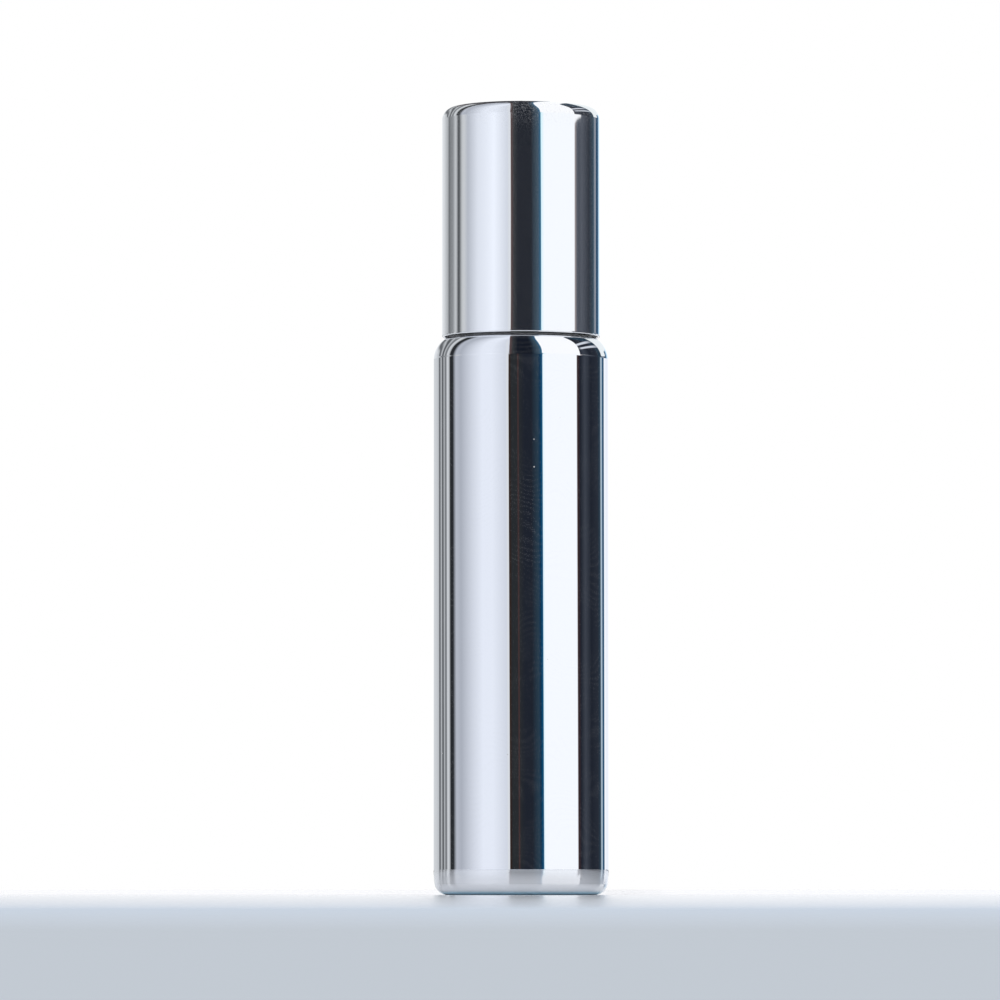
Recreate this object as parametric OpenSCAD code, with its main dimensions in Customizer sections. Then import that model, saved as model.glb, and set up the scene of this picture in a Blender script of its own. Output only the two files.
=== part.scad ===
// Slim roll-on bottle of about 10 ml: a mirror-plated glass bottle, a push-in housing that carries
// a steel ball, and a screw cap with a moulded insert inside a drawn metal shell.
// Lengths are in millimetres and angles in degrees.
// The origin is the middle of the base, where the bottle stands, and +Z points up.

/* [Bottle] */
// Outer diameter of the glass body
body_d = 19.1; // [18.4:0.1:24]
// Height of the shoulder's top above the table
shoulder_h = 61.15; // [40:0.05:90]
// Wall of the body
body_wall = 1.6; // [1.2:0.1:2]
// Glass in the middle of the base
base_wall = 2; // [1.4:0.1:3]
// Radius of the heel where the glass meets the table
heel_r = 1.4; // [1:0.1:2.4]
// Height at which the wall starts to draw in towards the heel
heel_h = 2.8; // [2.2:0.1:5]
// Height of the hollow under the base
push_up_h = 0.8; // [0.4:0.1:1.2]
// Width of the flat ring that the bottle stands on
foot_w = 0.9; // [0.6:0.1:1.4]
// Bore of the neck
bore_d = 9.8; // [9:0.1:10.6]
// Wall of the neck
neck_wall = 1.6; // [1.3:0.1:2]
// Height of the neck above the shoulder
neck_h = 11; // [9:0.5:14]

/* [Ball and housing] */
// Diameter of the ball
ball_d = 9.8; // [9:0.1:10.4]
// Running clearance between the ball and its seat
seat_clear = 0.06; // [0.03:0.01:0.1]
// Wall of the cup round the ball's middle
cup_wall = 1.2; // [0.9:0.1:1.5]
// Height of the retaining lip above the ball's middle
lip_rise = 1.5; // [1.2:0.1:2]
// Length of the plug that goes down the neck
plug_l = 6.5; // [4:0.5:8]
// Wall of the plug
plug_wall = 0.9; // [0.7:0.1:1.2]
// Thickness of the flange that sits on the neck's lip
flange_t = 1.1; // [0.8:0.1:1.6]
// Diameter of the hole that feeds the ball
feed_d = 4.2; // [3:0.1:4.6]
// Number of grooves that carry fluid up round the ball
groove_n = 6; // [3:1:8]

/* [Cap] */
// Wall of the drawn metal shell
shell_wall = 0.3; // [0.25:0.05:0.5]
// Radius of the shell's top edge
cap_edge_r = 1.3; // [0.8:0.1:2]
// Gap between the shell's rim and the glass shoulder
rim_gap = 0.31; // [0.15:0.01:0.45]
// Wall of the insert
insert_wall = 0.7; // [0.6:0.1:1]
// Thickness of the insert's top
crown_t = 1.3; // [0.8:0.1:1.6]
// Height of the insert's ribs under the shell
rib_h = 0.3; // [0.2:0.05:0.6]
// Number of ribs
rib_n = 16; // [8:1:24]
// Depth of the thread that the neck and the insert leave room for
thread_h = 0.7; // [0.5:0.05:0.9]
// Diameter of the soft sealing pad
pad_d = 7.2; // [6:0.1:8]
// Thickness of the sealing pad at its edge
pad_t = 2.6; // [2:0.1:3]

/* [Hidden] */
$fn = 120;
// Overrun of every cut past the face that it opens
cut = 0.5;
// Heights that come out of an arc are rounded to this step, so that they stay exact down the line
grid = 0.01;

// Bottle
body_r = body_d / 2;
bore_r = bore_d / 2;
neck_r = bore_r + neck_wall;
// Fillet at the foot of the neck and the narrow flat outside it
neck_fillet_r = 0.2;
shoulder_flat = 0.15;
shoulder_mid_r = neck_r + neck_fillet_r + shoulder_flat;
shoulder_r = body_r - shoulder_mid_r;
lip_z = shoulder_h + neck_h;
lip_out_r = 0.6;
lip_in_r = 0.4;
cavity_r = body_r - body_wall;
floor_z = push_up_h + base_wall;
floor_r = 2.4;
// Glass over the hollow, under the shoulder
ceiling_wall = 1.9;
ceiling_z = shoulder_h - ceiling_wall;
// Rounding where the hollow runs into the bore, and the narrow flat outside it
throat_r = 0.8;
ceiling_flat = 0.1;
ceiling_r = cavity_r - bore_r - throat_r - ceiling_flat;
// Gentle curve from the wall to the heel, how far the wall has turned where the heel takes over,
// and the radius at which the heel's own arc is centred. The heel's arc stands proud of a true
// tangent by a hair, so that the two arcs cross in one clean edge.
heel_lead_r = 12;
heel_proud = 0.003;
heel_turn = asin((heel_h - heel_r) / (heel_lead_r - heel_r));
heel_mid_r = body_r - heel_lead_r + (heel_lead_r - heel_r) * cos(heel_turn) + heel_proud;
push_up_r = heel_mid_r - foot_w;
push_up_ball_r = (pow(push_up_r, 2) + pow(push_up_h, 2)) / (2 * push_up_h);

// Ball and housing
ball_r = ball_d / 2;
seat_r = ball_r + seat_clear;
feed_r = feed_d / 2;
// Height of the seat above the neck's lip, measured at the feed hole's edge
seat_rise = 0.83;
ball_z = grid * round((lip_z + seat_rise + sqrt(pow(seat_r, 2) - pow(feed_r, 2))) / grid);
// Wall of the seat where the plug's hollow reaches up under it
seat_wall = 0.8;
cup_r = seat_r + cup_wall;
cup_top_z = ball_z + lip_rise;
cup_edge_r = 1;
// Bead round the cup that the insert's bore runs over
cup_bead_r = 0.4;
cup_bead_h = 0.12;
cup_bead_z = ball_z - seat_r / 3;
flange_w = 0.3;
flange_r = cup_r + flange_w;
flange_z = lip_z + flange_t;
flange_edge_r = 0.2;
plug_clear = 0.18;
plug_r = bore_r - plug_clear;
plug_in_r = plug_r - plug_wall;
plug_z = lip_z - plug_l;
plug_edge_r = 0.35;
// Beads that grip the glass, how far they press into it and where they lie along the plug
plug_bead_r = 0.35;
plug_press = 0.05;
plug_bead_shares = [0.28, 0.62];
groove_w = 0.9;
groove_depth = 0.3;
groove_top_z = ball_z - seat_r / 8;

// Sealing pad
pad_r = pad_d / 2;
// Gap between the pad's dimple and the ball, and the pad's thickness over the ball
pad_gap = 0.08;
pad_web = 2;
pad_top_z = ball_z + ball_r + pad_gap + pad_web;
pad_z = pad_top_z - pad_t;
pad_edge_r = 0.3;
// Play of the loose pad in its ring
pad_clear = 0.05;

// Insert
thread_clear = 0.15;
flange_clear = 0.3;
socket_r = max(neck_r + thread_h + thread_clear, flange_r + flange_clear);
cup_clear = 0.07;
cup_bore_r = cup_r + cup_bead_h + cup_clear;
insert_r = socket_r + insert_wall;
insert_top_r = cup_bore_r + insert_wall;
insert_lift = 0.35;
insert_z = shoulder_h + insert_lift;
// Gap between the insert's ledge and the flange below it
ledge_gap = 0.1;
ledge_z = flange_z + ledge_gap;
socket_edge_r = 0.3;
crown_z = pad_top_z + pad_clear;
insert_top_z = crown_z + crown_t;
// Full-width bands at the insert's two ends
foot_band_h = 1.4;
foot_edge_r = 0.3;
crown_band_h = crown_t + insert_wall;
rib_w = 0.6;
pad_ring_in_r = pad_r + pad_clear;
pad_ring_wall = 0.75;
pad_ring_r = pad_ring_in_r + pad_ring_wall;
// Snap bead that keeps the pad in its ring
snap_r = 0.25;
snap_catch = 0.2;
snap_z = pad_z - pad_clear - snap_r;
pad_ring_z = snap_z - snap_r;
web_n = 6;
web_w = 0.8;
web_h = 1.4;

// Shell
shell_in_r = insert_r + rib_h;
// How far the ribs and bands press into the shell
shell_press = 0.02;
cap_r = shell_in_r + shell_wall;
cap_top_z = insert_top_z + shell_wall;
rim_mid_r = shell_in_r + shell_wall / 2;
shoulder_drop = shoulder_r - sqrt(max(0, pow(shoulder_r, 2) - pow(rim_mid_r - shoulder_mid_r, 2)));
rim_z = grid * round((shoulder_h - shoulder_drop + rim_gap) / grid);
rim_edge_share = 0.45;
rim_edge_r = shell_wall * rim_edge_share;
insert_edge_r = cap_edge_r - shell_wall + shell_wall / 3;

echo(overall_height = cap_top_z, rim_height = rim_z, cap_diameter = 2 * cap_r, ball_height = ball_z);
echo(ball_above_lip = ball_z + ball_r - cup_top_z, lift_to_clear = ball_z + ball_r - rim_z);

// Everything is turned about the Z axis, so the sections below are drawn with the radius along X
// and the height along Y.

// Section of a ring from radius r0 to r1 and from height z0 to z1
module band(r0, r1, z0, z1) {
    translate([r0, z0]) square([r1 - r0, z1 - z0]);
}

// Sliver between the corner point [r, z] and an arc of the given radius, whose centre lies on the
// side that side_r and side_z point to. It rounds a corner when cut and fills one when added.
module corner(r, z, arc_r, side_r, side_z) {
    mid_r = r + side_r * arc_r;
    mid_z = z + side_z * arc_r;
    difference() {
        translate([min(r, mid_r), min(z, mid_z)]) square(arc_r);
        translate([mid_r, mid_z]) circle(arc_r);
    }
}

// Copies of a shape at equal angles about the axis
module around(count) {
    for (i = [0 : count - 1]) rotate(i * 360 / count) children();
}

// What the heel takes off the wall: a gentle curve first, and under it the arc that meets the table
module heel_cut() {
    reach = 2 * heel_r;
    difference() {
        band(heel_mid_r, body_r + cut, 0, heel_h);
        translate([body_r - heel_lead_r, heel_h]) circle(heel_lead_r);
    }
    difference() {
        polygon([
            [heel_mid_r, 0],
            [heel_mid_r, heel_r],
            [heel_mid_r + reach * cos(heel_turn), heel_r - reach * sin(heel_turn)],
            [heel_mid_r + reach, 0]
        ]);
        translate([heel_mid_r, heel_r]) circle(heel_r);
    }
}

// The glass outside: heel, straight wall, one arc for the shoulder, and a plain neck
module bottle_outline() {
    difference() {
        union() {
            band(0, body_r, 0, shoulder_h);
            band(0, neck_r, 0, lip_z);
            corner(neck_r, shoulder_h, neck_fillet_r, 1, 1);
        }
        heel_cut();
        corner(body_r, shoulder_h, shoulder_r, -1, -1);
        corner(neck_r, lip_z, lip_out_r, -1, -1);
    }
}

// The hollow that holds the fluid, with the bore above it
module bottle_hollow() {
    difference() {
        band(0, cavity_r, floor_z, ceiling_z);
        corner(cavity_r, floor_z, floor_r, -1, 1);
        corner(cavity_r, ceiling_z, ceiling_r, -1, -1);
    }
    band(0, bore_r, floor_z, lip_z + cut);
    corner(bore_r, ceiling_z, throat_r, 1, 1);
    corner(bore_r, lip_z, lip_in_r, 1, -1);
}

module bottle() {
    color("#c9cdd3")
    rotate_extrude()
    difference() {
        bottle_outline();
        bottle_hollow();
        translate([0, push_up_h - push_up_ball_r]) circle(push_up_ball_r);
    }
}

// Plug, flange and cup before the seat is cut
module housing_outline() {
    difference() {
        union() {
            band(0, plug_r, plug_z, lip_z + flange_t / 2);
            band(0, flange_r, lip_z, flange_z);
            band(0, cup_r, lip_z, cup_top_z);
            for (share = plug_bead_shares)
                translate([bore_r + plug_press - plug_bead_r, plug_z + plug_l * share]) circle(plug_bead_r);
            translate([cup_r + cup_bead_h - cup_bead_r, cup_bead_z]) circle(cup_bead_r);
        }
        corner(plug_r, plug_z, plug_edge_r, -1, 1);
        corner(flange_r, lip_z, flange_edge_r, -1, 1);
        corner(flange_r, flange_z, flange_edge_r, -1, -1);
        corner(cup_r, cup_top_z, cup_edge_r, -1, -1);
    }
}

// Inside of the plug, which ends in a dome under the round seat
module plug_hollow() {
    difference() {
        band(0, plug_in_r, plug_z - cut, ball_z);
        translate([0, ball_z]) circle(seat_r + seat_wall);
    }
}

// Grooves that leave the feed hole and climb the seat as far as the ball's middle
module feed_grooves() {
    intersection() {
        translate([0, 0, ball_z]) sphere(seat_r + groove_depth);
        around(groove_n)
            translate([0, -groove_w / 2, lip_z]) cube([cup_r, groove_w, groove_top_z - lip_z]);
    }
}

module ball_housing() {
    color("#eef1f0")
    difference() {
        rotate_extrude()
        difference() {
            housing_outline();
            plug_hollow();
            band(0, feed_r, plug_z - cut, ball_z);
            translate([0, ball_z]) circle(seat_r);
        }
        feed_grooves();
    }
}

module roller_ball() {
    color("#b9bec6")
    translate([0, 0, ball_z]) sphere(ball_r);
}

module seal_pad() {
    color("#f4f3ee")
    rotate_extrude()
    difference() {
        band(0, pad_r, pad_z, pad_top_z);
        corner(pad_r, pad_z, pad_edge_r, -1, 1);
        corner(pad_r, pad_top_z, pad_edge_r, -1, -1);
        translate([0, ball_z]) circle(ball_r + pad_gap);
    }
}

// The insert outside: two full-width bands and the stepped wall between them
module insert_outline() {
    difference() {
        union() {
            band(0, shell_in_r + shell_press, insert_z, insert_z + foot_band_h);
            band(0, insert_r, insert_z, ledge_z + insert_wall);
            band(0, insert_top_r, ledge_z, insert_top_z);
            band(0, shell_in_r, insert_top_z - crown_band_h, insert_top_z);
        }
        corner(shell_in_r, insert_top_z, insert_edge_r, -1, -1);
        corner(shell_in_r + shell_press, insert_z, foot_edge_r, -1, 1);
    }
}

// Room inside the insert for the neck's thread and the cup, round the ring that holds the pad
module insert_hollow() {
    band(0, socket_r, insert_z - cut, ledge_z);
    corner(socket_r, insert_z, socket_edge_r, 1, 1);
    difference() {
        band(0, cup_bore_r, insert_z, crown_z);
        difference() {
            union() {
                band(pad_ring_in_r, pad_ring_r, pad_ring_z, crown_z + cut);
                translate([pad_ring_in_r - snap_catch + snap_r, snap_z]) circle(snap_r);
            }
            corner(pad_ring_r, pad_ring_z, snap_r, -1, 1);
        }
    }
}

module insert_ribs() {
    intersection() {
        translate([0, 0, insert_z]) cylinder(r = shell_in_r + shell_press, h = insert_top_z - insert_z);
        around(rib_n)
            translate([insert_top_r - insert_wall / 2, -rib_w / 2, insert_z + foot_band_h / 2])
            cube([cap_r, rib_w, insert_top_z - insert_z - (foot_band_h + crown_band_h) / 2]);
    }
}

// Webs that stiffen the pad's ring from the crown
module pad_ring_webs() {
    web_l = cup_bore_r - pad_ring_r;
    around(web_n)
        translate([pad_ring_r - pad_ring_wall / 2, -web_w / 2, crown_z - web_h])
        cube([web_l + pad_ring_wall / 2 + insert_wall / 2, web_w, web_h + crown_t / 2]);
}

module cap_insert() {
    color("#f7f7f5")
    union() {
        difference() {
            union() {
                rotate_extrude() insert_outline();
                insert_ribs();
            }
            rotate_extrude() insert_hollow();
        }
        pad_ring_webs();
    }
}

module cap_shell() {
    color("#d5d8dc")
    rotate_extrude()
    difference() {
        band(0, cap_r, rim_z, cap_top_z);
        corner(cap_r, cap_top_z, cap_edge_r, -1, -1);
        corner(cap_r, rim_z, rim_edge_r, -1, 1);
        corner(shell_in_r, rim_z, rim_edge_r, 1, 1);
        difference() {
            band(0, shell_in_r, rim_z - cut, cap_top_z - shell_wall);
            corner(shell_in_r, cap_top_z - shell_wall, cap_edge_r - shell_wall, -1, -1);
        }
    }
}

bottle();
ball_housing();
roller_ball();
seal_pad();
cap_insert();
cap_shell();
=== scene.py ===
# %% [markdown]
# A slim roll-on bottle: mirror-plated glass below, a bright metal cap above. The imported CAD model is
# the fixed frame, so its bodies and sizes come first and every piece below is made to sit on them.

import math
import bpy
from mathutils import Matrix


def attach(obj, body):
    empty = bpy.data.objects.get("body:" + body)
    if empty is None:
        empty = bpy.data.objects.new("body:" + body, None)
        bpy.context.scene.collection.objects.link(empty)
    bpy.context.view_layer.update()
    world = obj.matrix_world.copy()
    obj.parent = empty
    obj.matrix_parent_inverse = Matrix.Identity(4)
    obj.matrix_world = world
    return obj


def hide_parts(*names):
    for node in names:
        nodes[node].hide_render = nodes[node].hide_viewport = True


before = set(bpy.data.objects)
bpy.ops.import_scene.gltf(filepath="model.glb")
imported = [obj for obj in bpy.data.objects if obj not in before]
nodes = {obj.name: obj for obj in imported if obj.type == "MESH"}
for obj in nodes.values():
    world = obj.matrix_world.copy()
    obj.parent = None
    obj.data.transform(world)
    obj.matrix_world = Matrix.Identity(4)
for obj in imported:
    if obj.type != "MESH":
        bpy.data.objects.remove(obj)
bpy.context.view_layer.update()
mm = 0.001

# %% [markdown]
# The photograph was taken with a long lens that stood just above the table top and tipped up a
# little. A camera is set by what it does: where it stands, how far it tips, and how long the lens is.

# %% Stand the camera
scene = bpy.context.scene
lens_to_axis, lens_over_table = 0.775, 0.95 * mm
tip_up, turn_left = 3.1125, 0.17
camera_data = bpy.data.cameras.new("long_lens")
camera_data.lens = 255.66
camera_data.sensor_width = 36
camera_data.clip_start = 0.01
camera_data.clip_end = 20
camera = bpy.data.objects.new("camera", camera_data)
camera.location = (0, -lens_to_axis, lens_over_table)
camera.rotation_euler = (math.radians(90 + tip_up), 0, math.radians(turn_left))
scene.collection.objects.link(camera)
scene.camera = camera
scene.view_settings.view_transform = "Standard"
print("camera stands", round(camera.location.length, 4), "m from the base")

# %% [markdown]
# Nearly every piece of this bottle is round, so nearly every shape is a section turned about the
# axis. Blender's Spin and Screw tools do that, but a mirror shows every facet, so the rings are laid
# down here point by point. Each section is a list of straight runs and true arcs in millimetres. A
# long run stops a hair short of the arcs that it joins, and points that still coincide are dropped.

# %% Helpers for a turned section
hair, tiny = 0.05, 1e-5


def arc(mid_r, mid_z, radius, start, end, steps):
    """Points of an arc in the section plane; angles in degrees, 0 outwards and 90 upwards."""
    turns = [math.radians(start + (end - start) * i / steps) for i in range(steps + 1)]
    return [(mid_r + radius * math.cos(t), mid_z + radius * math.sin(t)) for t in turns]


def run(r0, z0, r1, z1, steps):
    """Points along a straight line of the section."""
    return [(r0 + (r1 - r0) * i / steps, z0 + (z1 - z0) * i / steps) for i in range(steps + 1)]


def build(name, points, faces, smooth=True):
    """A mesh object made of points in metres and faces, put in the scene."""
    mesh = bpy.data.meshes.new(name)
    mesh.from_pydata(points, [], faces)
    if smooth:
        mesh.shade_smooth()
    made = bpy.data.objects.new(name, mesh)
    scene.collection.objects.link(made)
    return made


def turned(name, section, around=512):
    """A mesh object made by turning a closed or axis-to-axis section about Z."""
    clean = [section[0]]
    for r, z in section[1:]:
        if math.hypot(r - clean[-1][0], z - clean[-1][1]) > tiny:
            clean.append((r, z))
    closed = min(clean[0][0], clean[-1][0]) > tiny
    points, rings = [], []
    for r, z in clean:
        if r < tiny:
            rings.append([len(points)] * around)
            points.append((0, 0, z * mm))
            continue
        rings.append(list(range(len(points), len(points) + around)))
        for i in range(around):
            turn = 2 * math.pi * i / around
            points.append((r * mm * math.cos(turn), r * mm * math.sin(turn), z * mm))
    faces = []
    pairs = list(zip(rings, rings[1:])) + ([(rings[-1], rings[0])] if closed else [])
    for low, high in pairs:
        for i in range(around):
            j = (i + 1) % around
            corner = [low[i], low[j], high[j], high[i]]
            faces.append([p for k, p in enumerate(corner) if p != corner[k - 1]])
    print(name, "has", len(points), "points on", len(rings), "rings")
    return build(name, points, faces)

# %% [markdown]
# The glass is one closed section: the hollow under the base, the ring it stands on, a small heel that
# runs into the wall by a long gentle curve, the straight wall, one round shoulder, the neck and its
# lip, then the bore and the inside. The arcs are the CAD's, only laid finer.

# %% Turn the glass bottle
body_r, arc_z, lip_z = 9.55, 58.45, 72.15
neck_r, bore_r, glass_wall, floor_z = 6.5, 4.9, 1.6, 2.8
shoulder_r, neck_root_r, lip_out_r, lip_in_r = 2.7, 0.2, 0.6, 0.4
in_r, in_root_r, in_shoulder_r, in_heel_r = body_r - glass_wall, 0.8, 2.15, 2.4
heel_r, heel_h, heel_lead_r, heel_proud, foot_w = 1.4, 2.8, 12, 0.003, 0.9
heel_turn = math.degrees(math.asin((heel_h - heel_r) / (heel_lead_r - heel_r)))
heel_mid_r = body_r - heel_lead_r + (heel_lead_r - heel_r) * math.cos(math.radians(heel_turn)) + heel_proud
push_up_r, push_up_h = heel_mid_r - foot_w, 0.8
push_up_ball = (push_up_r ** 2 + push_up_h ** 2) / (2 * push_up_h)
push_up_edge = math.degrees(math.acos(push_up_r / push_up_ball))
outside = arc(0, push_up_h - push_up_ball, push_up_ball, 90, push_up_edge, 24)
outside += run(push_up_r, 0, heel_mid_r, 0, 3)
outside += arc(heel_mid_r, heel_r, heel_r, -90, -heel_turn, 36)
outside += arc(body_r - heel_lead_r, heel_h, heel_lead_r, -heel_turn, 0, 24)[1:]
outside += run(body_r, heel_h + hair, body_r, arc_z - hair, 60)
outside += arc(body_r - shoulder_r, arc_z, shoulder_r, 0, 90, 56)
neck_z = arc_z + shoulder_r + neck_root_r
outside += arc(neck_r + neck_root_r, neck_z, neck_root_r, 270, 180, 8)
outside += run(neck_r, neck_z + hair, neck_r, lip_z - lip_out_r - hair, 24)
outside += arc(neck_r - lip_out_r, lip_z - lip_out_r, lip_out_r, 0, 90, 12)
bore_z = arc_z + glass_wall
inside = arc(bore_r + lip_in_r, lip_z - lip_in_r, lip_in_r, 90, 180, 8)
inside += run(bore_r, lip_z - lip_in_r - hair, bore_r, bore_z + hair, 6)
inside += arc(bore_r + in_root_r, bore_z, in_root_r, 180, 270, 8)
inside += arc(in_r - in_shoulder_r, bore_z - in_root_r - in_shoulder_r, in_shoulder_r, 90, 0, 12)
inside += arc(in_r - in_heel_r, floor_z + in_heel_r, in_heel_r, 0, -90, 12)
inside += [(0, floor_z)]
glass_bottle = turned("glass_bottle", outside + inside)
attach(glass_bottle, "bottle_body")
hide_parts("bottle")

# %% [markdown]
# The cap's shell is a cup drawn from thin sheet: a round top edge outside and inside, and a rim whose
# two corners are broken. It hides the neck, and its outside is nearly a third of what the camera sees.

# %% Turn the cap's shell
cap_r, rim_z, cap_top_z, shell_wall = 8.65, 60.90, 86.10, 0.3
cap_edge_r, rim_edge_r, fan_r = 1.3, 0.135, 0.4
cap_in_r, in_edge_r = cap_r - shell_wall, cap_edge_r - shell_wall
flat_r, edge_z, rim_arc_z = cap_r - cap_edge_r, cap_top_z - cap_edge_r, rim_z + rim_edge_r
shell_out = [(0, cap_top_z)] + run(fan_r, cap_top_z, flat_r - hair, cap_top_z, 12)
shell_out += arc(flat_r, edge_z, cap_edge_r, 90, 0, 48)
shell_out += run(cap_r, edge_z - hair, cap_r, rim_arc_z + hair, 40)
shell_out += arc(cap_r - rim_edge_r, rim_arc_z, rim_edge_r, 0, -90, 12)
shell_in = arc(cap_in_r + rim_edge_r, rim_arc_z, rim_edge_r, 270, 180, 12)
shell_in += run(cap_in_r, rim_arc_z + hair, cap_in_r, edge_z - hair, 30)
shell_in += arc(flat_r, edge_z, in_edge_r, 0, 90, 12)
shell_in += [(0, cap_top_z - shell_wall)]
drawn_shell = turned("drawn_shell", shell_out + shell_in)
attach(drawn_shell, "cap")
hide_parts("cap_shell")

# %% [markdown]
# The ball is ground and polished steel. A turned half circle with many rings keeps its outline and
# its reflections smooth when the cap is off.

# %% Turn the ball
ball_r, ball_z = 4.9, 77.47
steel_ball = turned("steel_ball", arc(0, ball_z, ball_r, 90, -90, 128), around=192)
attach(steel_ball, "ball")
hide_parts("roller_ball")

# %% [markdown]
# A screw thread is a ridge that climbs a cylinder. The neck carries one in glass and the insert
# another in plastic, both right-handed with a rise of 3 mm a turn, half a turn apart, so they pass
# each other at every angle of the cap. A small rounded section is swept along the helix and shrinks
# over the last seventh of a turn at both ends, as a moulded thread does. A cosine gives it a soft foot
# and a soft crest in one line, and its foot is sunk into the wall, so that no gap shows.

# %% Sweep the two screw threads
def screw_ridge(name, root_r, crest_r, low_z, turns, foot_w, lead=3.0, start_turn=0.0):
    """A ridge of rounded section on a right-handed helix; it points outwards if crest_r is larger."""
    sunk, least_fade, least_width, fullness = 0.12, 0.04, 0.35, 0.8
    fades_a_turn, steps_a_turn, half_steps = 7, 96, 6
    depth = crest_r - root_r
    side = 1 if depth > 0 else -1
    section = [(-0.5 * foot_w, -sunk * side)]
    for i in range(2 * half_steps + 1):
        across = i / half_steps - 1
        rise = (0.5 + 0.5 * math.cos(math.pi * across)) ** fullness
        section.append((0.5 * foot_w * across, depth * rise))
    section.append((0.5 * foot_w, -sunk * side))
    steps = int(steps_a_turn * turns)
    points, faces = [], []
    for i in range(steps + 1):
        share = i / steps
        fade = min(1, share * turns * fades_a_turn, (1 - share) * turns * fades_a_turn)
        fade = max(least_fade, math.sin(fade * math.pi / 2))
        turn = 2 * math.pi * (start_turn + turns * share)
        mid_z = low_z + lead * turns * share
        for across, out in section:
            r = root_r + (out * fade if out * side > 0 else out)
            z = mid_z + across * (least_width + (1 - least_width) * fade)
            points.append((r * mm * math.cos(turn), r * mm * math.sin(turn), z * mm))
    wide = len(section)
    for i in range(steps):
        for k in range(wide):
            a, b = i * wide + k, i * wide + (k + 1) % wide
            faces.append([a, b, b + wide, a + wide])
    faces.append(list(range(wide))[::-1])
    faces.append([steps * wide + k for k in range(wide)])
    print(name, "climbs", round(lead * turns, 2), "mm")
    return build(name, points, faces)


neck_thread = screw_ridge(
    "neck_thread", root_r=neck_r, crest_r=7.15, low_z=64.2, turns=1.75, foot_w=1.35,
)
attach(neck_thread, "bottle_body")
cap_thread = screw_ridge(
    "cap_thread", root_r=7.35, crest_r=6.72, low_z=62.9, turns=2.4, foot_w=1.15, start_turn=0.06,
)
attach(cap_thread, "cap")

# %% [markdown]
# A finish is a small graph of nodes. The first helper keeps the tree of nodes and gives short ways to
# add a node, to join two, and to hold, sum, blend or grade a value. Colours are written as the eye
# reads them, because that is how one compares them with a photograph.

# %% Helpers for a graph of nodes
def seen(red, green, blue):
    """A colour as the eye reads it, 0 to 255, turned into the linear numbers that light uses."""
    shares = [c / 255 for c in (red, green, blue)]
    return [((s + 0.055) / 1.055) ** 2.4 if s > 0.04045 else s / 12.92 for s in shares] + [1]


class Graph:
    def __init__(self, tree):
        """Takes a tree of shader nodes and empties it."""
        self.tree = tree
        self.tree.nodes.clear()

    def add(self, kind, **values):
        """A node of a kind, with its settings and its plain inputs given by name."""
        node = self.tree.nodes.new("ShaderNode" + kind)
        for key, value in values.items():
            if hasattr(node, key):
                setattr(node, key, value)
            else:
                node.inputs[key.replace("_", " ")].default_value = value
        return node

    def join(self, source, target):
        """Feeds an input by another node's output, or by a plain number or colour."""
        if isinstance(source, bpy.types.NodeSocket):
            self.tree.links.new(source, target)
        else:
            target.default_value = source

    def between(self, value, low, high, to_low=0.0, to_high=1.0, **values):
        """A value carried from one range to another and held inside it."""
        node = self.add("MapRange", **values)
        for socket, source in zip(node.inputs, (value, low, high, to_low, to_high)):
            self.join(source, socket)
        return node.outputs["Result"]

    def maths(self, operation, first, second=0.5):
        """A sum of two values; one that needs a single value doesn't look at the second."""
        node = self.add("Math", operation=operation)
        for socket, source in zip(node.inputs, (first, second)):
            self.join(source, socket)
        return node.outputs[0]

    def parts(self, source):
        """The X, Y and Z of a place or a direction."""
        node = self.add("SeparateXYZ")
        self.join(source, node.inputs[0])
        return node.outputs

    def blend(self, mask, first, second):
        """One colour where the mask is 0 and another where it is 1."""
        node = self.add("Mix", data_type="RGBA")
        self.join(mask, node.inputs["Factor"])
        for socket in node.inputs:
            if socket.identifier == "A_Color":
                self.join(first, socket)
            if socket.identifier == "B_Color":
                self.join(second, socket)
        return [s for s in node.outputs if s.identifier == "Result_Color"][0]

    def graded(self, value, low, high, stops):
        """A colour, or a number as grey, that follows stops placed along a range of a value."""
        node = self.add("ValToRGB")
        bar = node.color_ramp.elements
        while len(bar) > 1:
            bar.remove(bar[-1])
        for i, (where, colour) in enumerate(stops):
            share = (where - low) / (high - low)
            stop = bar[0] if i == 0 else bar.new(share)
            stop.position = share
            stop.color = colour if isinstance(colour, list) else [colour, colour, colour, 1]
        self.join(self.between(value, low, high), node.inputs["Fac"])
        return node.outputs["Color"]


print("white as the eye reads it is", seen(255, 255, 255)[:3], "in light")

# %% [markdown]
# A surface needs more: a Principled shader, the place on the object, noise, a bump, a few specks, and
# a way to put the finish on its pieces. A second helper adds these to the first, so that each finish
# below reads as a recipe.

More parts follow.
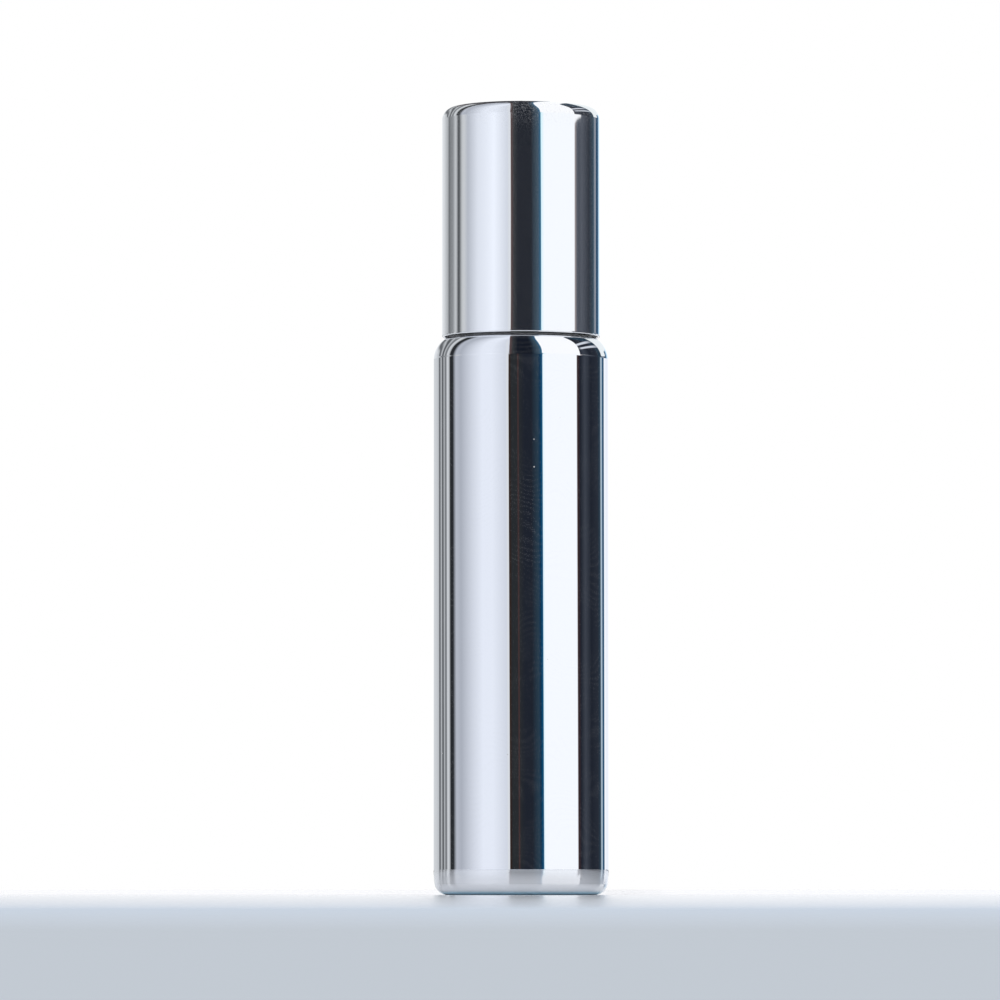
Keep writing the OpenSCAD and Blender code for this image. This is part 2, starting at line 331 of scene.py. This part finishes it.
# %% Helpers for finishes
class Finish(Graph):
    def __init__(self, name, colour, metallic, roughness):
        """A surface that starts with one plain colour, metalness and roughness."""
        self.material = bpy.data.materials.new(name)
        self.material.use_nodes = True
        super().__init__(self.material.node_tree)
        self.out = self.add("OutputMaterial")
        self.shader = self.add("BsdfPrincipled")
        self.join(self.shader.outputs[0], self.out.inputs["Surface"])
        self.feed("Base Color", colour)
        self.feed("Metallic", metallic)
        self.feed("Roughness", roughness)
        self.place = self.add("TexCoord").outputs["Object"]

    def feed(self, name, source):
        """Sets one input of the surface's shader, by a plain value or by a node's output."""
        self.join(source, self.shader.inputs[name])

    def noise(self, scale, detail=2.0, stretch=(1, 1, 1)):
        """Noise with `scale` features per metre, pulled out along an axis by a small stretch."""
        mapping = self.add("Mapping", Scale=stretch)
        self.join(self.place, mapping.inputs["Vector"])
        texture = self.add("TexNoise", Scale=scale, Detail=detail)
        self.join(mapping.outputs[0], texture.inputs["Vector"])
        return texture.outputs["Fac"]

    def ripple(self, height, depth):
        """A bump from a height of 0 to 1 that stands `depth` millimetres."""
        node = self.add("Bump", Strength=1, Distance=depth * mm)
        self.join(height, node.inputs["Height"])
        self.feed("Normal", node.outputs[0])

    def specks(self, scale, size, chance):
        """A few soft round dots: cells of noise whose middle is near and whose own number is high."""
        core_share, luck_w = 0.4, 0.004
        cells = self.add("TexVoronoi", Scale=scale)
        self.join(self.place, cells.inputs["Vector"])
        near = self.between(cells.outputs["Distance"], size, size * core_share)
        pick = self.add("SeparateColor")
        self.join(cells.outputs["Color"], pick.inputs[0])
        lucky = self.between(pick.outputs[0], chance, chance + luck_w)
        return self.maths("MULTIPLY", near, lucky)

    def cover(self, *objects):
        """Gives the finish to pieces as their only material."""
        for thing in objects:
            thing.data.materials.clear()
            thing.data.materials.append(self.material)
        print(self.material.name, "covers", ", ".join(thing.name for thing in objects))

# %% [markdown]
# The bottle is glass with a metal coat on the outside, so it is a near-perfect mirror: metallic, very
# smooth and faintly cool. A pale blue reflection is painted into its colour at the very foot. What
# tells the eye that it is real is small: the glass is not quite true, a little dust lies on it, a few
# soft smudges dull it, and touch has left faint ridges in patches. The ridges are bent bands of a wave
# texture, and like all haze they only show where the mirror is dark.

# %% The mirror plating
silver = seen(242, 243, 246)
plating = Finish("mirror_plating", silver, 1.0, 0.02)
dust = plating.specks(scale=700, size=0.075, chance=0.955)
smudge = plating.between(plating.noise(130, 4, (1, 1, 3)), 0.56, 0.78)
# The lowest half millimetre of the plating is coloured pale blue: a painted reflection at the foot.
foot_low_z, foot_top_z = 0.1, 0.45
foot_reflection_mask = plating.between(plating.parts(plating.place)["Z"], foot_top_z * mm, foot_low_z * mm)
plating_with_painted_reflection = plating.blend(foot_reflection_mask, silver, seen(196, 236, 252))
plating.feed("Base Color", plating.blend(dust, plating_with_painted_reflection, seen(222, 220, 218)))
ridges = plating.add("TexWave", wave_type="BANDS", bands_direction="Z", Scale=480, Distortion=32)
ridges.inputs["Detail"].default_value = 0
ridges.inputs["Detail Scale"].default_value = 0.42
plating.join(plating.place, ridges.inputs["Vector"])
touched = plating.between(plating.noise(260, 1), 0.46, 0.56)
ridged = plating.between(ridges.outputs["Fac"], 0.3, 1.0, 0, 0.013)
grain = plating.between(plating.noise(5200, 2), 0.52, 0.7, 0, 0.01)
haze = plating.maths("ADD", plating.maths("MULTIPLY", ridged, touched), grain)
plating.feed("Metallic", plating.maths("SUBTRACT", plating.between(dust, 0, 1, 1, 0), haze))
dulled = plating.between(smudge, 0, 1, 0.01, 0.03)
plating.feed("Roughness", plating.maths("ADD", dulled, plating.maths("MULTIPLY", dust, 0.5)))
plating.ripple(plating.noise(150, 1), 0.002)
plating.cover(glass_bottle, neck_thread)

# %% [markdown]
# The shell is polished aluminium. Polishing leaves it mirror-smooth but for countless tiny pits, and
# they lift the darks of a reflection a little. A metal that is a few hundredths short of pure metal
# does the same without any grain. Fine pits show only near the top, where fingers hold the cap.

# %% The polished aluminium
shine = seen(243, 244, 246)
aluminium = Finish("polished_aluminium", shine, 1.0, 0.03)
fleck = aluminium.specks(scale=700, size=0.1, chance=0.98)
aluminium.feed("Base Color", aluminium.blend(fleck, shine, seen(200, 196, 192)))
held_z = 83
handled = aluminium.graded(aluminium.parts(aluminium.place)["Z"], held_z * mm, cap_top_z * mm, [
    (held_z * mm, 0.0), (85.3 * mm, 0.13), (85.9 * mm, 0.13), (86.08 * mm, 0.01),
])
pits = aluminium.between(aluminium.noise(5200, 3), 0.49, 0.64)
pitted = aluminium.maths("ADD", aluminium.maths("MULTIPLY", pits, handled), 0.021)
aluminium.feed("Metallic", aluminium.maths("SUBTRACT", 1, pitted))
aluminium.feed("Roughness", aluminium.between(fleck, 0, 1, 0.012, 0.3))
aluminium.ripple(aluminium.noise(110, 1), 0.0008)
aluminium.cover(drawn_shell)

# %% [markdown]
# Under the cap are three plain mouldings and a ball. The housing is unpigmented polyethylene, so some
# light goes into it and comes out again; the insert is white and half glossy; the pad is soft and
# matt. Steel shows the finest polishing lines.

# %% The housing, the insert, the pad and the ball
milky = Finish("natural_polyethylene", seen(233, 236, 235), 0.0, 0.38)
milky.feed("Subsurface Weight", 0.35)
milky.feed("Subsurface Radius", (1.2 * mm, 1.2 * mm, 1.1 * mm))
milky.feed("Roughness", milky.between(milky.noise(900, 3), 0.3, 0.7, 0.32, 0.46))
milky.ripple(milky.noise(2600, 3), 0.004)
milky.cover(nodes["ball_housing"])

moulding = Finish("white_moulding", seen(240, 240, 238), 0.0, 0.32)
moulding.feed("Roughness", moulding.between(moulding.noise(1200, 3), 0.3, 0.7, 0.26, 0.4))
moulding.ripple(moulding.noise(3000, 3), 0.003)
moulding.cover(nodes["cap_insert"], cap_thread)

soft_pad = Finish("soft_pad", seen(236, 235, 228), 0.0, 0.7)
mottled = soft_pad.blend(soft_pad.noise(1500, 3), seen(232, 231, 224), seen(240, 239, 233))
soft_pad.feed("Base Color", mottled)
soft_pad.ripple(soft_pad.noise(5000, 3), 0.012)
soft_pad.cover(nodes["seal_pad"])

steel = Finish("polished_steel", seen(214, 215, 218), 1.0, 0.06)
steel.feed("Roughness", steel.between(steel.noise(9000, 3, (1, 1, 6)), 0.3, 0.8, 0.04, 0.14))
steel.cover(steel_ball)

# %% [markdown]
# The bottle stands on a pale, half-glossy table, and the camera looks along its top from just above.
# It belongs to the studio and not to the object. A slab with a rounded edge is enough, because only a
# thin band of its top shows.

# %% The table
table_front, table_back, table_side, table_thick = -0.476, 1.15, 1.2, 0.03
table_edge_r, edge_steps = 1.2 * mm, 8
rows = [(table_back, -table_thick), (table_back, 0)]
for i in range(edge_steps + 1):
    tip = math.radians(90 * i / edge_steps)
    rows.append((table_front + table_edge_r * (1 - math.sin(tip)), -table_edge_r * (1 - math.cos(tip))))
rows.append((table_front, -table_thick))
table_points = [(x, y, z) for y, z in rows for x in (-table_side, table_side)]
table_faces = [[2 * i, 2 * i + 2, 2 * i + 3, 2 * i + 1] for i in range(len(rows) - 1)]
table = build("table", table_points, table_faces, smooth=False)
print("the table is", table_back - table_front, "m deep")

# %% [markdown]
# Its gloss fades towards the front edge, where the photograph shows a soft grey and no mirror. So a
# matt shader and a glossy one are mixed by the distance from the bottle, and the glossy one grows a
# little rougher on the way. Ramps hold both, because they are listed curves.

# %% The table's finish
table_top = Finish("pale_satin_table", seen(236, 238, 242), 0.0, 0.14)
spot = table_top.parts(table_top.place)
ramp_front, ramp_back = -0.48, 0.12
satin = table_top.graded(spot["Y"], ramp_front, ramp_back, [
    (-0.476, 0.19), (-0.3, 0.18), (-0.1, 0.14), (0.1, 0.1),
])
cloudy = table_top.between(table_top.noise(300, 3), 0.3, 0.7, -0.02, 0.02)
table_top.feed("Roughness", table_top.maths("ADD", satin, cloudy))
# The matt colour is pale blue-grey on the top and grows darker down the rounded front edge: painted shade.
edge_colour_with_painted_shade = table_top.graded(spot["Z"], -1 * mm, 0, [
    (-0.9 * mm, seen(200, 207, 214)), (-0.5 * mm, seen(205, 213, 222)), (0, seen(210, 220, 232)),
])
matt_edge = table_top.add("BsdfDiffuse")
table_top.join(edge_colour_with_painted_shade, matt_edge.inputs["Color"])
gloss = table_top.graded(spot["Y"], ramp_front, ramp_back, [
    (-0.476, 0.06), (-0.4465, 0.29), (-0.411, 0.45), (-0.367, 0.58), (-0.3105, 0.7), (-0.236, 0.79),
    (-0.134, 0.85), (0.017, 0.93), (0.1, 1.0),
])
mixed = table_top.add("MixShader")
for socket, source in zip(mixed.inputs, (gloss, matt_edge.outputs[0], table_top.shader.outputs[0])):
    table_top.join(source, socket)
table_top.join(mixed.outputs[0], table_top.out.inputs["Surface"])
table_top.cover(table)

# %% [markdown]
# A mirror has no look of its own: it shows the studio. The studio here is the world itself, painted by
# direction. Soft boxes and dark flags stand round the horizon, each at its angle from the camera, and
# bend over into arches under one dark band. Only reflections see them. The lens sees plain white, and
# matt surfaces get one even light. Sums of nodes get short names first, so that the rest can be read.

# %% Directions in the studio
world = bpy.data.worlds.new("studio")
scene.world = world
world.use_nodes = True
sky = Graph(world.node_tree)


def plus(first, second):
    return sky.maths("ADD", first, second)


def less(first, second):
    return sky.maths("SUBTRACT", first, second)


def times(first, second):
    return sky.maths("MULTIPLY", first, second)


def lower_of(first, second):
    return sky.maths("MINIMUM", first, second)


def higher_of(first, second):
    return sky.maths("MAXIMUM", first, second)


degrees = 180 / math.pi
direction = sky.parts(sky.add("TexCoord").outputs["Generated"])
aside, toward, upward = direction["X"], times(direction["Y"], -1.0), direction["Z"]
azimuth = times(sky.maths("ARCTAN2", aside, toward), degrees)
elevation = times(sky.maths("ARCSINE", lower_of(higher_of(upward, -1.0), 1.0)), degrees)
print("the studio knows azimuth and elevation in degrees")

# %% [markdown]
# More helpers paint with these angles. A step is a soft edge, and two of them hold a patch. A panel
# has a level of lightness, in steps of ten, and one of four tints, from neutral to blue. Its light is
# made a tenth brighter than it is seen, because no mirror gives back all that it gets.

# %% Helpers for painting the studio
def step(value, low, high):
    """0 below a value, 1 above another, smooth between; the other way round if low is larger."""
    return sky.between(value, low, high, interpolation_type="SMOOTHSTEP")


def within(value, low, full_low, full_high, high):
    """1 inside a range, 0 outside it, with a soft edge at either end."""
    return times(step(value, low, full_low), step(value, high, full_high))


def tint(greener, bluer):
    """A way to tint panels: it turns a level into a colour as seen."""
    return lambda level: (level, min(255, level + greener), min(255, level + bluer))


def lit(red, green, blue):
    """A colour as seen, turned into the light that a panel gives."""
    gain = 1.1
    return [gain * c for c in seen(red, green, blue)[:3]] + [1]


def ramp(value, low, high, stops):
    """Colours over a range; each stop is a place in that range and a colour as seen."""
    return sky.graded(value, low, high, [(where, lit(*colour)) for where, colour in stops])


grey, cool, blue, deep = tint(3, 6), tint(5, 15), tint(20, 35), tint(40, 70)
print("a white panel shines at", [round(c, 2) for c in lit(255, 255, 255)[:3]])

# %% [markdown]
# Two rings stand round the horizon, one above the other. The body sees the low one and the cap the
# high one. From the camera round to the left each has a wide soft box that fades, a black flag, thin
# grey panels and the pale backdrop. To the right are a bright soft box, a broad flag, a bar of light
# and the backdrop again. A stop is an angle and the panel there, and colour runs evenly between two.

# %% The two rings of soft boxes and flags
backdrop, soft_box, box_edge = (250, 250, 252), (248, 251, 255), (200, 240, 250)
slot_half, slot_soft = 1.5, 2.5
low_left = [(-180, backdrop), (-174, backdrop), (-172, grey(210)), (-150, grey(200))]
for middle, level in ((-136, 100), (-126, 90), (-118, 120)):
    low_left += [(middle - slot_half - slot_soft, grey(190)), (middle - slot_half, grey(level))]
    low_left += [(middle + slot_half, grey(level))]
low_left += [
    (-114, grey(210)), (-110, grey(190)), (-107, grey(40)), (-101, grey(40)), (-95, cool(180)),
    (-86, cool(170)), (-66, cool(210)), (-52, cool(230)), (-38, cool(230)), (-19, cool(210)),
    (-17, grey(220)),
]
low_right = [
    (28, box_edge), (32, soft_box), (79.5, soft_box), (80.5, (60, 40, 40)), (86, cool(30)), (94, cool(60)),
    (106, cool(30)), (122, cool(40)), (129, blue(40)), (133.5, blue(190)), (137, deep(30)),
    (142.5, deep(50)), (143.5, soft_box), (156, cool(230)), (180, backdrop),
]
high_left = [
    (-180, backdrop), (-174, backdrop), (-172, grey(230)), (-151, grey(210)), (-135, grey(170)),
    (-130, grey(100)), (-127, grey(120)), (-118, grey(140)), (-112, grey(190)), (-109, grey(180)),
    (-105, grey(80)), (-102, grey(80)), (-96, grey(190)), (-92, grey(200)), (-84, cool(180)),
    (-66, cool(220)), (-52, cool(230)), (-40, cool(240)), (-20, cool(210)), (-15, grey(220)),
]
high_right = [
    (28, box_edge), (34, soft_box), (84.5, soft_box), (86, (150, 140, 140)), (90, cool(80)), (94, cool(70)),
    (99, cool(80)), (110, cool(60)), (118, cool(40)), (131, blue(50)), (134, blue(80)), (137.5, cool(140)),
    (140.5, cool(140)), (143.5, deep(40)), (147.5, deep(10)), (151, deep(30)), (156, deep(140)),
    (161, blue(220)), (170, soft_box), (180, backdrop),
]
print("the low ring has", len(low_left) + len(low_right), "stops")
print("the high ring has", len(high_left) + len(high_right), "stops")

# %% [markdown]
# The low ring's flags lean a little, so their edges drift along the body. The right flag of the high
# ring ends in a round top just below the cap's edge. One look at the numbers: a reflection climbs only
# two degrees from the cap's rim to its edge, so all this happens between 4.4 and 6.3 degrees.

# %% Stand the rings up
rings_meet, flag_ends, flag_lean = 4.4, 6.195, 1.3
bright = lit(252, 253, 255)
to_right = step(azimuth, -0.01, 0.01)
drift = sky.between(elevation, 0.0, rings_meet, flag_lean, -flag_lean)
bearing = less(azimuth, drift)
low_ring = sky.blend(to_right, ramp(bearing, -180, -16, low_left), ramp(bearing, 28, 180, low_right))
high_ring = sky.blend(to_right, ramp(azimuth, -180, -15, high_left), ramp(azimuth, 28, 180, high_right))
rounding = sky.maths("POWER", higher_of(less(98.0, azimuth), 0.0), 2.0)
flag_top = step(plus(elevation, times(rounding, 0.0003)), flag_ends - 0.01, flag_ends + 0.01)
high_ring = sky.blend(times(flag_top, within(azimuth, 83, 84, 97, 100)), high_ring, bright)
ring = sky.blend(step(elevation, rings_meet - 0.02, rings_meet + 0.02), low_ring, high_ring)
print("the rings meet", rings_meet, "degrees above the horizon")

# %% [markdown]
# Above the rings the panels bend over and meet in arches. They show in the cap's round edge and, much
# larger, in the shoulder. On the left one distance does that: it grows with the height as well as with
# the angle from the arch's middle, and takes the angle's place in the low ring. On the right a dark
# oval stands on the horizon with two thin bars of light across it and a bright oval inside. Straight
# behind the bottle the ring's backdrop stands up to 12 degrees instead.

# %% Bend the panels into arches
arches_start, left_middle, flattening = 6.31, -147.0, 0.92
backdrop_side, backdrop_top = 148.5, 12
over_rings = higher_of(less(elevation, 6.0), 0.0)


def distance(across, up):
    return sky.maths("SQRT", plus(times(across, across), times(up, up)))


def oval(middle, half_wide, tall):
    """A share that is 0 at an oval's middle on the horizon, 1 on its outline, and more outside."""
    return distance(times(less(azimuth, middle), 1 / half_wide), times(over_rings, 1 / tall))


reach = distance(higher_of(less(bearing, left_middle), 0.0), times(over_rings, flattening))
left_arches = ramp(lower_of(plus(reach, left_middle), -18.0), -180, -16, low_left)
off_middle = less(azimuth, 110.0)
bent = plus(elevation, times(times(off_middle, off_middle), 0.006))
bars = plus(within(bent, 24, 27, 29, 31), within(bent, 35.5, 37.5, 40, 42))
bars = times(bars, within(azimuth, 88, 96, 120, 150))
right_arches = ramp(lower_of(bearing, 128.0), 28, 180, low_right)
right_arches = sky.blend(bars, right_arches, seen(*cool(220)))
bright_oval = oval(middle=157, half_wide=24, tall=33)
right_arches = sky.blend(step(bright_oval, 1.04, 0.96), right_arches, seen(244, 250, 252))
dark_oval = oval(middle=131, half_wide=46, tall=52)
right_arches = sky.blend(step(dark_oval, 0.99, 1.01), right_arches, bright)
arches = sky.blend(to_right, left_arches, right_arches)
behind = step(sky.maths("ABSOLUTE", azimuth), backdrop_side - 0.1, backdrop_side + 0.1)
behind = times(behind, step(elevation, backdrop_top + 1, backdrop_top - 1))
arches = sky.blend(behind, arches, ring)
ring = sky.blend(step(elevation, arches_start - 0.03, arches_start + 0.03), ring, arches)
print("the arches start", arches_start, "degrees above the horizon")

# %% [markdown]
# A dark band starts at the camera, runs overhead and comes down behind the bottle, where it stops 21
# degrees short of the horizon, so that the table doesn't mirror it. It is measured by the angle along
# it, 0 at the camera and 90 overhead, and by how far to the side a direction leans. Two curves give
# its edges, and a ramp across it gives its brown and blue fringes and one fine warm line.

# %% The dark band overhead
left_edge = [
    (0, 0.265), (4.3, 0.265), (4.5, 0.252), (6.2, 0.252), (6.6, 0.27), (9, 0.27), (40, 0.236), (60, 0.2),
    (78, 0.165), (91, 0.135), (105, 0.11), (112, 0.115), (120, 0.23), (140, 0.27), (150, 0.27),
    (156, 0.17), (159, 0.001),
]
right_edge = [
    (0, 0.488), (4.3, 0.488), (4.5, 0.49), (6, 0.49), (8, 0.462), (23, 0.447), (40, 0.397), (60, 0.305),
    (78, 0.215), (90, 0.17), (105, 0.12), (120, 0.098), (135, 0.078), (150, 0.06), (156, 0.04),
    (159, 0.001),
]
lean_a_degree = 0.0165
low_down = step(elevation, rings_meet + 0.02, rings_meet - 0.02)
lean = less(aside, times(times(drift, lean_a_degree), low_down))
along = times(sky.maths("ARCTAN2", upward, toward), degrees)
left_share = sky.maths("DIVIDE", lean, sky.graded(along, 0, 180, left_edge))
right_share = sky.maths("DIVIDE", lean, sky.graded(along, 0, 180, right_edge))
share = sky.blend(step(lean, -0.001, 0.001), left_share, right_share)
low_band = ramp(share, -1, 1, [
    (-1, (50, 30, 20)), (-0.75, grey(40)), (-0.3, grey(40)), (-0.2, (70, 50, 50)), (-0.1, grey(40)),
    (0.2, cool(30)), (0.5, cool(30)), (0.8, blue(40)), (0.9, deep(10)), (1, (20, 90, 130)),
])
high_band = ramp(share, -1, 1, [
    (-1, (90, 70, 70)), (-0.7, grey(50)), (-0.3, cool(20)), (0.5, cool(20)), (0.85, blue(60)),
    (0.95, deep(50)), (1, (50, 130, 160)),
])
band = sky.blend(low_down, high_band, low_band)
in_band = times(step(left_share, -1.025, -0.985), step(right_share, 1.012, 0.992))
studio = sky.blend(in_band, ring, band)
print("the dark band ends", left_edge[-1][0], "degrees along its way")

# %% [markdown]
# The last step joins the three looks by the kind of ray. Light Path tells a camera ray, a reflection
# and matt light apart, which keeps the background white without pouring more light on the bottle.

# %% Join the studio by ray
white, even = [1, 1, 1, 1], [0.92, 0.93, 0.95, 1]
ray = sky.add("LightPath").outputs
shiny = higher_of(ray["Is Glossy Ray"], ray["Is Transmission Ray"])
colour = sky.blend(ray["Is Camera Ray"], sky.blend(shiny, even, studio), white)
background = sky.add("Background", Strength=1)
sky.join(colour, background.inputs["Color"])
end = sky.add("OutputWorld")
sky.join(background.outputs[0], end.inputs["Surface"])
print("the lens sees", white[:3], "and matt surfaces get", even[:3])
